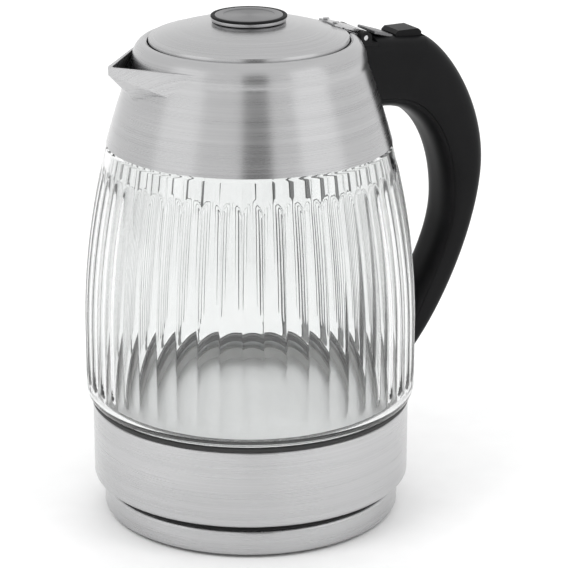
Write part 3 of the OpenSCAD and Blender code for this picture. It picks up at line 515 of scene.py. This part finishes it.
def flute_depth(angles, z):
    """Depth of the flutes at a height: round grooves with arched ends."""
    u = (angles * FLUTES / (2 * math.pi)) % 1.0 - 0.5
    past = max(FLUTE_LOW + ARCH - z, z - (FLUTE_HIGH - ARCH), 0.0) / ARCH
    return FLUTE_DEPTH * np.maximum(1 - (2 * u) ** 2 - past**2, 0)


JAR_OUTSIDE, JAR_INSIDE = jar_outline(0), jar_outline(WALL)


def jar_radius(angles, r, z, i):
    """The flutes are cut into the outside only."""
    return r - flute_depth(angles, z) if i < len(JAR_OUTSIDE) else np.full(len(angles), r)


piece("jar_skin", lathe(JAR_OUTSIDE + JAR_INSIDE[::-1], JAR_TURNS, jar_radius), "glass_jar", angle=50)

# ---------------------------------------------------------------- collar with its spout

LIP_DEPTH = 7
SPOUT_TOP = RIM_Z - 5.4
SPOUT_H = 17.0
TIP_H = 3.6
TIP_R, TIP_TURNS = 3, 72
WING_ANGLE = 38
WING_R, WING_TURNS, WING_STEP = 1, 32, 2
RIDGE_R, RIDGE_TURNS, RIDGE_H = 1.6, 40, 4
WAY_LOW, WAY_TOP = SPOUT_TOP - 16, SPOUT_TOP - 3.2
WAY_LOW_W, WAY_TOP_W = 8.0, 19.0
WAY_FAR, WAY_NEAR, WAY_TAPER = SPOUT_X - 8, SHOULDER_R - 9, 0.45
MOUTH_EDGE = 1
BODY_STEPS = 30
SIDE_STEPS, SHOULDER_STEPS, SHOULDER_START = 40, 22, 4


def collar_line(out):
    """Outside of the collar, moved out: the jar's own curve, then a round shoulder up to the rim."""
    side = [(side_r(z) + out, float(z)) for z in np.linspace(COLLAR_Z, SHOULDER_Z, SIDE_STEPS)]
    reach, rise = SHOULDER_R + out - MOUTH_R - MOUTH_EDGE, RIM_Z + out - PROUD - SHOULDER_Z
    top = [(MOUTH_R + MOUTH_EDGE + reach * math.cos(a), SHOULDER_Z + rise * math.sin(a))
           for a in np.radians(np.linspace(SHOULDER_START, 90, SHOULDER_STEPS))]
    return side + top


def collar_ring():
    """Sheet of the collar, with a lip turned down into the mouth."""
    out, inside = collar_line(PROUD), collar_line(PROUD - SHEET)
    lip = [(MOUTH_R, RIM_Z - 0.5), (MOUTH_R, RIM_Z - LIP_DEPTH),
           (MOUTH_R + SHEET, RIM_Z - LIP_DEPTH), (MOUTH_R + SHEET, RIM_Z - SHEET)]
    return lathe(out + lip + inside[:-1][::-1], COLLAR_TURNS)


def hinge_seat(near, far):
    """Block that clears the hinge block's seat between two distances from the axis."""
    return block((near, HINGE_LO.y - SEAT_GAP, HINGE_LO.z - SEAT_GAP),
                 (far, HINGE_HI.y + SEAT_GAP, RIM_Z + CLEAR_ABOVE))


def spout_way():
    """Wedge of the way through the collar's wall into the spout, wider at the top and near the mouth."""
    points = []
    for z, w in ((WAY_LOW, WAY_LOW_W), (WAY_TOP, WAY_TOP_W)):
        points += [(-WAY_NEAR, -w, z), (-WAY_NEAR, w, z),
                   (-WAY_FAR, w * WAY_TAPER, z), (-WAY_FAR, -w * WAY_TAPER, z)]
    return points, [(0, 1, 2, 3), (7, 6, 5, 4), (0, 4, 5, 1), (1, 5, 6, 2), (2, 6, 7, 3), (3, 7, 4, 0)]


def spout_wedge(inset, rise):
    """The spout as a solid: two flat flanks that meet in a rounded ridge.

    Flanks and ridge are moved inwards by the inset, and the top goes up by the rise.
    """
    tip, tip_r = -SPOUT_X + TIP_R + inset * 1.3, TIP_R - inset
    wing_r = SHOULDER_R - 1.5 - inset
    top = SPOUT_TOP + rise
    points = disc(tip, 0, tip_r, SPOUT_TOP - TIP_H + inset, TIP_TURNS)
    points += disc(tip, 0, tip_r, top, TIP_TURNS)
    for side in (-1, 1):
        a = math.radians(180 + side * WING_ANGLE)
        x, y = wing_r * math.cos(a), wing_r * math.sin(a)
        points += disc(x, y, WING_R, SPOUT_TOP - SPOUT_H + WING_STEP + inset, WING_TURNS)
        points += disc(x, y, WING_R, top, WING_TURNS)
    low = SPOUT_TOP - SPOUT_H + inset
    x = -side_r(SPOUT_TOP - SPOUT_H) + 2 + inset
    for z in (low, low + RIDGE_H):
        points += disc(x, 0, RIDGE_R, z, RIDGE_TURNS)
    return hull(points)


def body_space(grow):
    """Solid of band, jar and collar together, grown, that other pieces are cut back to."""
    below, belly_low = BAND_Z - 8, GLASS_Z + 6
    line = [(0.0, below), (BAND_R + grow, below), (BAND_R + grow, BAND_TOP - 1),
            (BELLY_R + PROUD + grow, belly_low)]
    line += [(side_r(z) + PROUD + grow, float(z)) for z in np.linspace(BELLY_Z, COLLAR_Z, BODY_STEPS)]
    line += collar_line(PROUD + grow)[1:] + [(0.0, RIM_Z + grow)]
    return lathe(line, SMALL_TURNS)


piece("collar_skin", collar_ring(), "collar", angle=30,
      cutters=[hinge_seat(MOUTH_R - 3, MOUTH_R + 30), spout_way()])
piece("spout_skin", spout_wedge(0, 0), "collar", angle=28,
      cutters=[spout_wedge(SHEET, 6), body_space(-SHEET / 2)])

# ---------------------------------------------------------------- handle

GRIP_TOP, GRIP_Z, GRIP_LOW = RIM_Z - 2.6, COLLAR_Z - 22, BAND_Z + 11
ARM_LOW = COLLAR_Z + 9
KNEE_X, KNEE_Z = HANDLE_X - 33, GRIP_TOP - 3.6
GRIP_D = 20.8
GRIP_IN = HANDLE_X - GRIP_D
FOOT_OUT, FOOT_IN, JAR_SIDE = BAND_R + 4.8, BAND_R + 0.5, BELLY_R + 1.2
ARM_W, GRIP_W, FOOT_W = 29.0, 25.0, 18.0
COVER_D, COVER_SHARE, JOINT = 5.0, 0.42, 0.2
SQUARENESS = 3.2
HALF_SECTION = 26
HANDLE_GAP = 0.35


def chain(points):
    """Splits 3n + 1 points into n cubic curves that share their ends."""
    return [points[i:i + 4] for i in range(0, len(points) - 1, 3)]


# Four curves each, from the arm over the knee and down the grip to the foot.
OUTER_LINE = chain([
    (MOUTH_R + 2, GRIP_TOP), (MOUTH_R + 12, GRIP_TOP - 0.8), (KNEE_X - 16, KNEE_Z + 1),
    (KNEE_X, KNEE_Z), (KNEE_X + 13, KNEE_Z - 6), (HANDLE_X - 0.2, GRIP_Z + 29),
    (HANDLE_X, GRIP_Z), (HANDLE_X - 0.2, GRIP_Z - 28), (HANDLE_X - 17, GLASS_Z + 30),
    (BELLY_R + 7.4, GLASS_Z + 8), (FOOT_OUT + 1.6, GLASS_Z + 1), (FOOT_OUT, BAND_TOP - 6),
    (FOOT_OUT, GRIP_LOW)])
INNER_LINE = chain([
    (MOUTH_R + 2, ARM_LOW), (MOUTH_R + 12, ARM_LOW), (BELLY_R - 8, ARM_LOW),
    (BELLY_R - 5, ARM_LOW - 1), (HANDLE_X - 33, ARM_LOW - 4), (GRIP_IN - 0.6, GRIP_Z + 8),
    (GRIP_IN, GRIP_Z - 18), (GRIP_IN + 0.6, GRIP_Z - 44), (JAR_SIDE + 4, BELLY_Z + 6),
    (JAR_SIDE, BELLY_Z - 14), (JAR_SIDE, GLASS_Z + 2), (FOOT_IN, GLASS_Z + 2),
    (FOOT_IN, GRIP_LOW)])
WIDTHS = (ARM_W, ARM_W, GRIP_W, FOOT_W + 3, FOOT_W)
STEPS = (18, 34, 38, 24)


def bezier(p, t):
    p = np.array(p, float)
    return (1 - t) ** 3 * p[0] + 3 * t * (1 - t) ** 2 * p[1] + 3 * t * t * (1 - t) * p[2] + t**3 * p[3]


def stations():
    """Outer point, inner point and width at each section of the handle."""
    out = []
    for k, steps in enumerate(STEPS):
        for t in np.linspace(0, 1, steps, endpoint=k == len(STEPS) - 1):
            width = WIDTHS[k] + (WIDTHS[k + 1] - WIDTHS[k]) * t
            out.append((bezier(OUTER_LINE[k], t), bezier(INNER_LINE[k], t), width))
    return out


def section(station, side):
    """A squared ellipse cut along the joint: side 1 is the outer shell, side -1 the inner cover."""
    outer, inner, width = station
    d = np.linalg.norm(outer - inner)
    way, mid = (outer - inner) / d, (outer + inner) / 2
    c = (side * (min(COVER_D, d * COVER_SHARE) - d / 2) + JOINT / 2) / (d / 2)
    last = math.acos(abs(c) ** (SQUARENESS / 2))
    if c < 0:
        last = math.pi - last
    a = np.linspace(-last, last, 2 * HALF_SECTION + 1)
    depth = side * d / 2 * np.sign(np.cos(a)) * np.abs(np.cos(a)) ** (2 / SQUARENESS)
    across = width / 2 * np.sign(a) * np.abs(np.sin(a)) ** (2 / SQUARENESS)
    return [(mid[0] + way[0] * p, q, mid[1] + way[1] * p) for p, q in zip(depth, across)]


def switch_slot():
    """Block that clears the rocker's slot in the top of the handle."""
    return block((ROCK_LO.x - 0.5, ROCK_LO.y - 0.5, KNEE_Z - 16),
                 (ROCK_HI.x + 1.9, ROCK_HI.y + 0.5, RIM_Z + CLEAR_ABOVE))


piece("handle_skin", swept([section(s, 1) for s in stations()][::-1]), "handle_shell", angle=32,
      cutters=[body_space(HANDLE_GAP), hinge_seat(0, HINGE_HI.x + SEAT_GAP), switch_slot()])
piece("handle_back_skin", swept([section(s, -1) for s in stations()]), "handle_cover", angle=32,
      cutters=[body_space(HANDLE_GAP)])

# ---------------------------------------------------------------- lid and knob

CAP_R = LID_R - 1.2
DOME_Z = RIM_Z + 1.6
LID_LOW = RIM_Z - 3
BALL = (CAP_R**2 + (DOME_TOP - DOME_Z) ** 2) / (2 * (DOME_TOP - DOME_Z))
DOME_STEPS, INSIDE_STEPS = 40, 24
SKIRT_RISE = 0.12
DISC_DISH = 0.25


def dome(r, t):
    """Height of the dome at a radius, less a thickness t."""
    return DOME_TOP - t - BALL + math.sqrt(BALL**2 - r * r)


def lid_outline():
    """Sheet dome with a rolled edge and a short skirt."""
    line = [(float(r), dome(r, 0)) for r in np.linspace(0, CAP_R - 1.0, DOME_STEPS)]
    line += [(LID_R - 1.0, DOME_Z + 0.1), (LID_R - 0.25, DOME_Z - 0.25), (LID_R, DOME_Z - 0.9),
             (LID_R, LID_LOW), (LID_R - SHEET, LID_LOW), (LID_R - SHEET, DOME_Z - SHEET - 0.6)]
    return line + [(float(r), dome(r, SHEET)) for r in np.linspace(CAP_R - 1.6, 0, INSIDE_STEPS)]


def knob_skirt_outline():
    """Steel foot of the knob, following the dome just above it."""
    low = [(r, dome(r, -SKIRT_RISE)) for r in (SKIRT_R - 2.6, SKIRT_R - 0.8)]
    return [(0.0, DOME_TOP + 0.05)] + low + [
        (SKIRT_R, dome(SKIRT_R, -0.5)), (SKIRT_R, CAP_LOW), (0.0, CAP_LOW)]


def knob_rim_outline():
    """Black rim of the knob, open in the middle for the disc."""
    inside, ledge, edge = DISC_R - 5, KNOB_TOP - 0.6, 0.3
    return [
        (inside, CAP_LOW), (KNOB_R - 0.2, CAP_LOW), (KNOB_R, CAP_LOW + 0.2), (KNOB_R, KNOB_TOP - edge),
        (KNOB_R - edge, KNOB_TOP), (KNOB_R - 1.5, KNOB_TOP), (KNOB_R - 1.7, ledge), (inside, ledge)]


def knob_disc_outline():
    """Grey disc in the knob's top, slightly dished."""
    low, edge = DISC_TOP - 0.5, 0.15
    return [
        (0.0, low), (DISC_R, low), (DISC_R, DISC_TOP - edge), (DISC_R - edge, DISC_TOP),
        (DISC_R - 3.6, DISC_TOP), (DISC_R - 4, DISC_TOP - DISC_DISH), (0.0, DISC_TOP - DISC_DISH)]


piece("lid_skin", lathe(lid_outline(), TURNS), "lid_shell", LID_STEEL, angle=40)
piece("knob_skirt_skin", lathe(softened(knob_skirt_outline(), 0.2), SMALL_TURNS), "knob_base", KNOB_STEEL)
piece("knob_rim_skin", lathe(softened(knob_rim_outline(), 0.15), SMALL_TURNS), "knob_cap")
piece("knob_disc_skin", lathe(softened(knob_disc_outline(), 0.1), SMALL_TURNS), "knob_disc")

# ---------------------------------------------------------------- floor and light, in metres

CAMERA_AZ = math.radians(-28)
CAMERA_AWAY = 1.1
STRIP_NEAR, STRIP_FAR, STRIP_Z = 0.1, 0.8, 0.0008
LAMP_AIM = Vector((0, 0, 0.1))
FLOOR_HALF = 8
WORLD_LIGHT = 0.95


def stage_piece(name, corners, material):
    """Flat four-sided piece of the set."""
    mesh = bpy.data.meshes.new(name)
    mesh.from_pydata(corners, [], [(0, 1, 2, 3)])
    obj = bpy.data.objects.new(name, mesh)
    obj.data.materials.append(material)
    bpy.context.scene.collection.objects.link(obj)
    return obj


def plane(name, centre, across, up, material):
    """Flat card with its middle at centre; across and up are its half sides."""
    c, a, u = Vector(centre), Vector(across), Vector(up)
    return stage_piece(name, [c - a - u, c + a - u, c + a + u, c - a + u], material)


def only_seen(obj, glossy=False, transmission=False):
    """Keeps a piece of the set to reflections, or to what is seen through the glass."""
    obj.visible_camera = False
    obj.visible_diffuse = False
    obj.visible_shadow = False
    obj.visible_volume_scatter = False
    obj.visible_glossy = glossy
    obj.visible_transmission = transmission


def floor_material():
    s = Shader("floor_paper")
    grain = s.noise(s.even(60.0), detail=4.0)
    s.colour(grain, (0.925, 0.925, 0.925), (0.945, 0.945, 0.945))
    s.put("Roughness", 0.85)
    s.put("Specular IOR Level", 0.1)
    return s.m


def glow(name, low, high):
    """Material that gives light: low at a card's bottom, high at its top."""
    m = bpy.data.materials.new(name)
    m.use_nodes = True
    t = m.node_tree
    t.nodes.clear()
    out = t.nodes.new("ShaderNodeOutputMaterial")
    light = t.nodes.new("ShaderNodeEmission")
    ramp = t.nodes.new("ShaderNodeMapRange")
    coord = t.nodes.new("ShaderNodeTexCoord")
    split = t.nodes.new("ShaderNodeSeparateXYZ")
    t.links.new(coord.outputs["Generated"], split.inputs[0])
    t.links.new(split.outputs[2], ramp.inputs["Value"])
    ramp.inputs["To Min"].default_value = low
    ramp.inputs["To Max"].default_value = high
    t.links.new(ramp.outputs[0], light.inputs["Strength"])
    t.links.new(light.outputs[0], out.inputs["Surface"])
    return m


def around(azimuth, distance, height):
    """Point at an azimuth from the camera's side, positive to its right."""
    a = CAMERA_AZ + math.radians(azimuth)
    return Vector((math.sin(a) * distance, -math.cos(a) * distance, height))


def upright(name, azimuth, width, low, high, distance, material):
    """Upright card that faces the object."""
    c = around(azimuth, distance, (low + high) / 2)
    side = Vector((c.y, -c.x, 0)).normalized() * width / 2
    return plane(name, c, side, (0, 0, (high - low) / 2), material)


def card(name, azimuth, width, low, high, distance, material):
    """Upright card, seen only in reflections."""
    only_seen(upright(name, azimuth, width, low, high, distance, material), glossy=True)


def flag(name, azimuth, width, high, distance):
    """Dark card beside the set, seen only through the glass: it draws the lines at the jar's edges."""
    material = glow(name, 0.05, 0.12)
    only_seen(upright(name, azimuth, width, 0.0, high, distance, material), transmission=True)


def floor_strip(name, near_slope, far_slope, low, high):
    """Dark paper lying behind the kettle along lines of sight; the flutes draw it out into dark lines."""
    back = Vector((-math.sin(CAMERA_AZ), math.cos(CAMERA_AZ), 0))
    right = Vector((math.cos(CAMERA_AZ), math.sin(CAMERA_AZ), 0))
    corners = [back * away + right * (slope * (CAMERA_AWAY + away)) + Vector((0, 0, STRIP_Z))
               for away, slope in ((STRIP_NEAR, near_slope), (STRIP_NEAR, far_slope),
                                   (STRIP_FAR, far_slope), (STRIP_FAR, near_slope))]
    only_seen(stage_piece(name, corners, glow(name, low, high)), transmission=True)


def lamp(name, azimuth, distance, height, size, power):
    """Round lamp aimed at the kettle, and not seen in reflections."""
    data = bpy.data.lights.new(name, "AREA")
    data.shape = "DISK"
    data.size = size
    data.energy = power
    obj = bpy.data.objects.new(name, data)
    bpy.context.scene.collection.objects.link(obj)
    obj.location = around(azimuth, distance, height)
    obj.rotation_mode = "QUATERNION"
    obj.rotation_quaternion = (LAMP_AIM - obj.location).to_track_quat("-Z", "Y")
    obj.visible_glossy = False


plane("floor", (0, 0, 0), (FLOOR_HALF, 0, 0), (0, FLOOR_HALF, 0), floor_material())
card("card_front", 7, width=0.72, low=0.14, high=1.5, distance=1.7, material=glow("card_grey", 0.1, 0.45))
for name, azimuth, low_light, high_light in (("left", -62, 1.15, 1.35), ("right", 62, 1.2, 1.4)):
    card("card_" + name, azimuth, width=1.3, low=0.05, high=1.7, distance=1.9,
         material=glow("card_white_" + name, low_light, high_light))
floor_strip("strip_right_dark", near_slope=0.036, far_slope=0.043, low=0.03, high=0.06)
floor_strip("strip_right", near_slope=0.043, far_slope=0.066, low=0.16, high=0.24)
floor_strip("strip_left", near_slope=-0.07, far_slope=-0.0585, low=0.16, high=0.24)
flag("flag_left", -108, width=2.7, high=1.6, distance=1.8)
flag("flag_right", 112, width=3.0, high=1.6, distance=1.8)
lamp("lamp_left", -50, distance=1.6, height=1.9, size=1.2, power=14)
lamp("lamp_right", 60, distance=1.8, height=1.6, size=1.2, power=10)
lamp("lamp_back", 175, distance=1.5, height=1.8, size=1.4, power=8)

world = bpy.data.worlds.new("studio")
bpy.context.scene.world = world
world.use_nodes = True
background = world.node_tree.nodes["Background"]
background.inputs["Color"].default_value = (1.0, 1.0, 1.0, 1)
background.inputs["Strength"].default_value = WORLD_LIGHT

# ---------------------------------------------------------------- camera, fitted to the photograph

CAMERA_PLACE = (-0.5040, -0.9815, 0.4814)
CAMERA_DOWN = 18.69
camera = bpy.data.cameras.new("camera")
camera.lens = 158.45
camera.sensor_width = 36.0
camera.clip_start, camera.clip_end = 0.05, 60.0
eye = bpy.data.objects.new("camera", camera)
bpy.context.scene.collection.objects.link(eye)
eye.location = CAMERA_PLACE
eye.rotation_euler = (math.radians(90 - CAMERA_DOWN), 0, CAMERA_AZ)
bpy.context.scene.camera = eye
bpy.context.scene.view_settings.view_transform = "Standard"
bpy.context.scene.cycles.max_bounces = 24
bpy.context.scene.cycles.transmission_bounces = 20
bpy.context.scene.cycles.glossy_bounces = 8
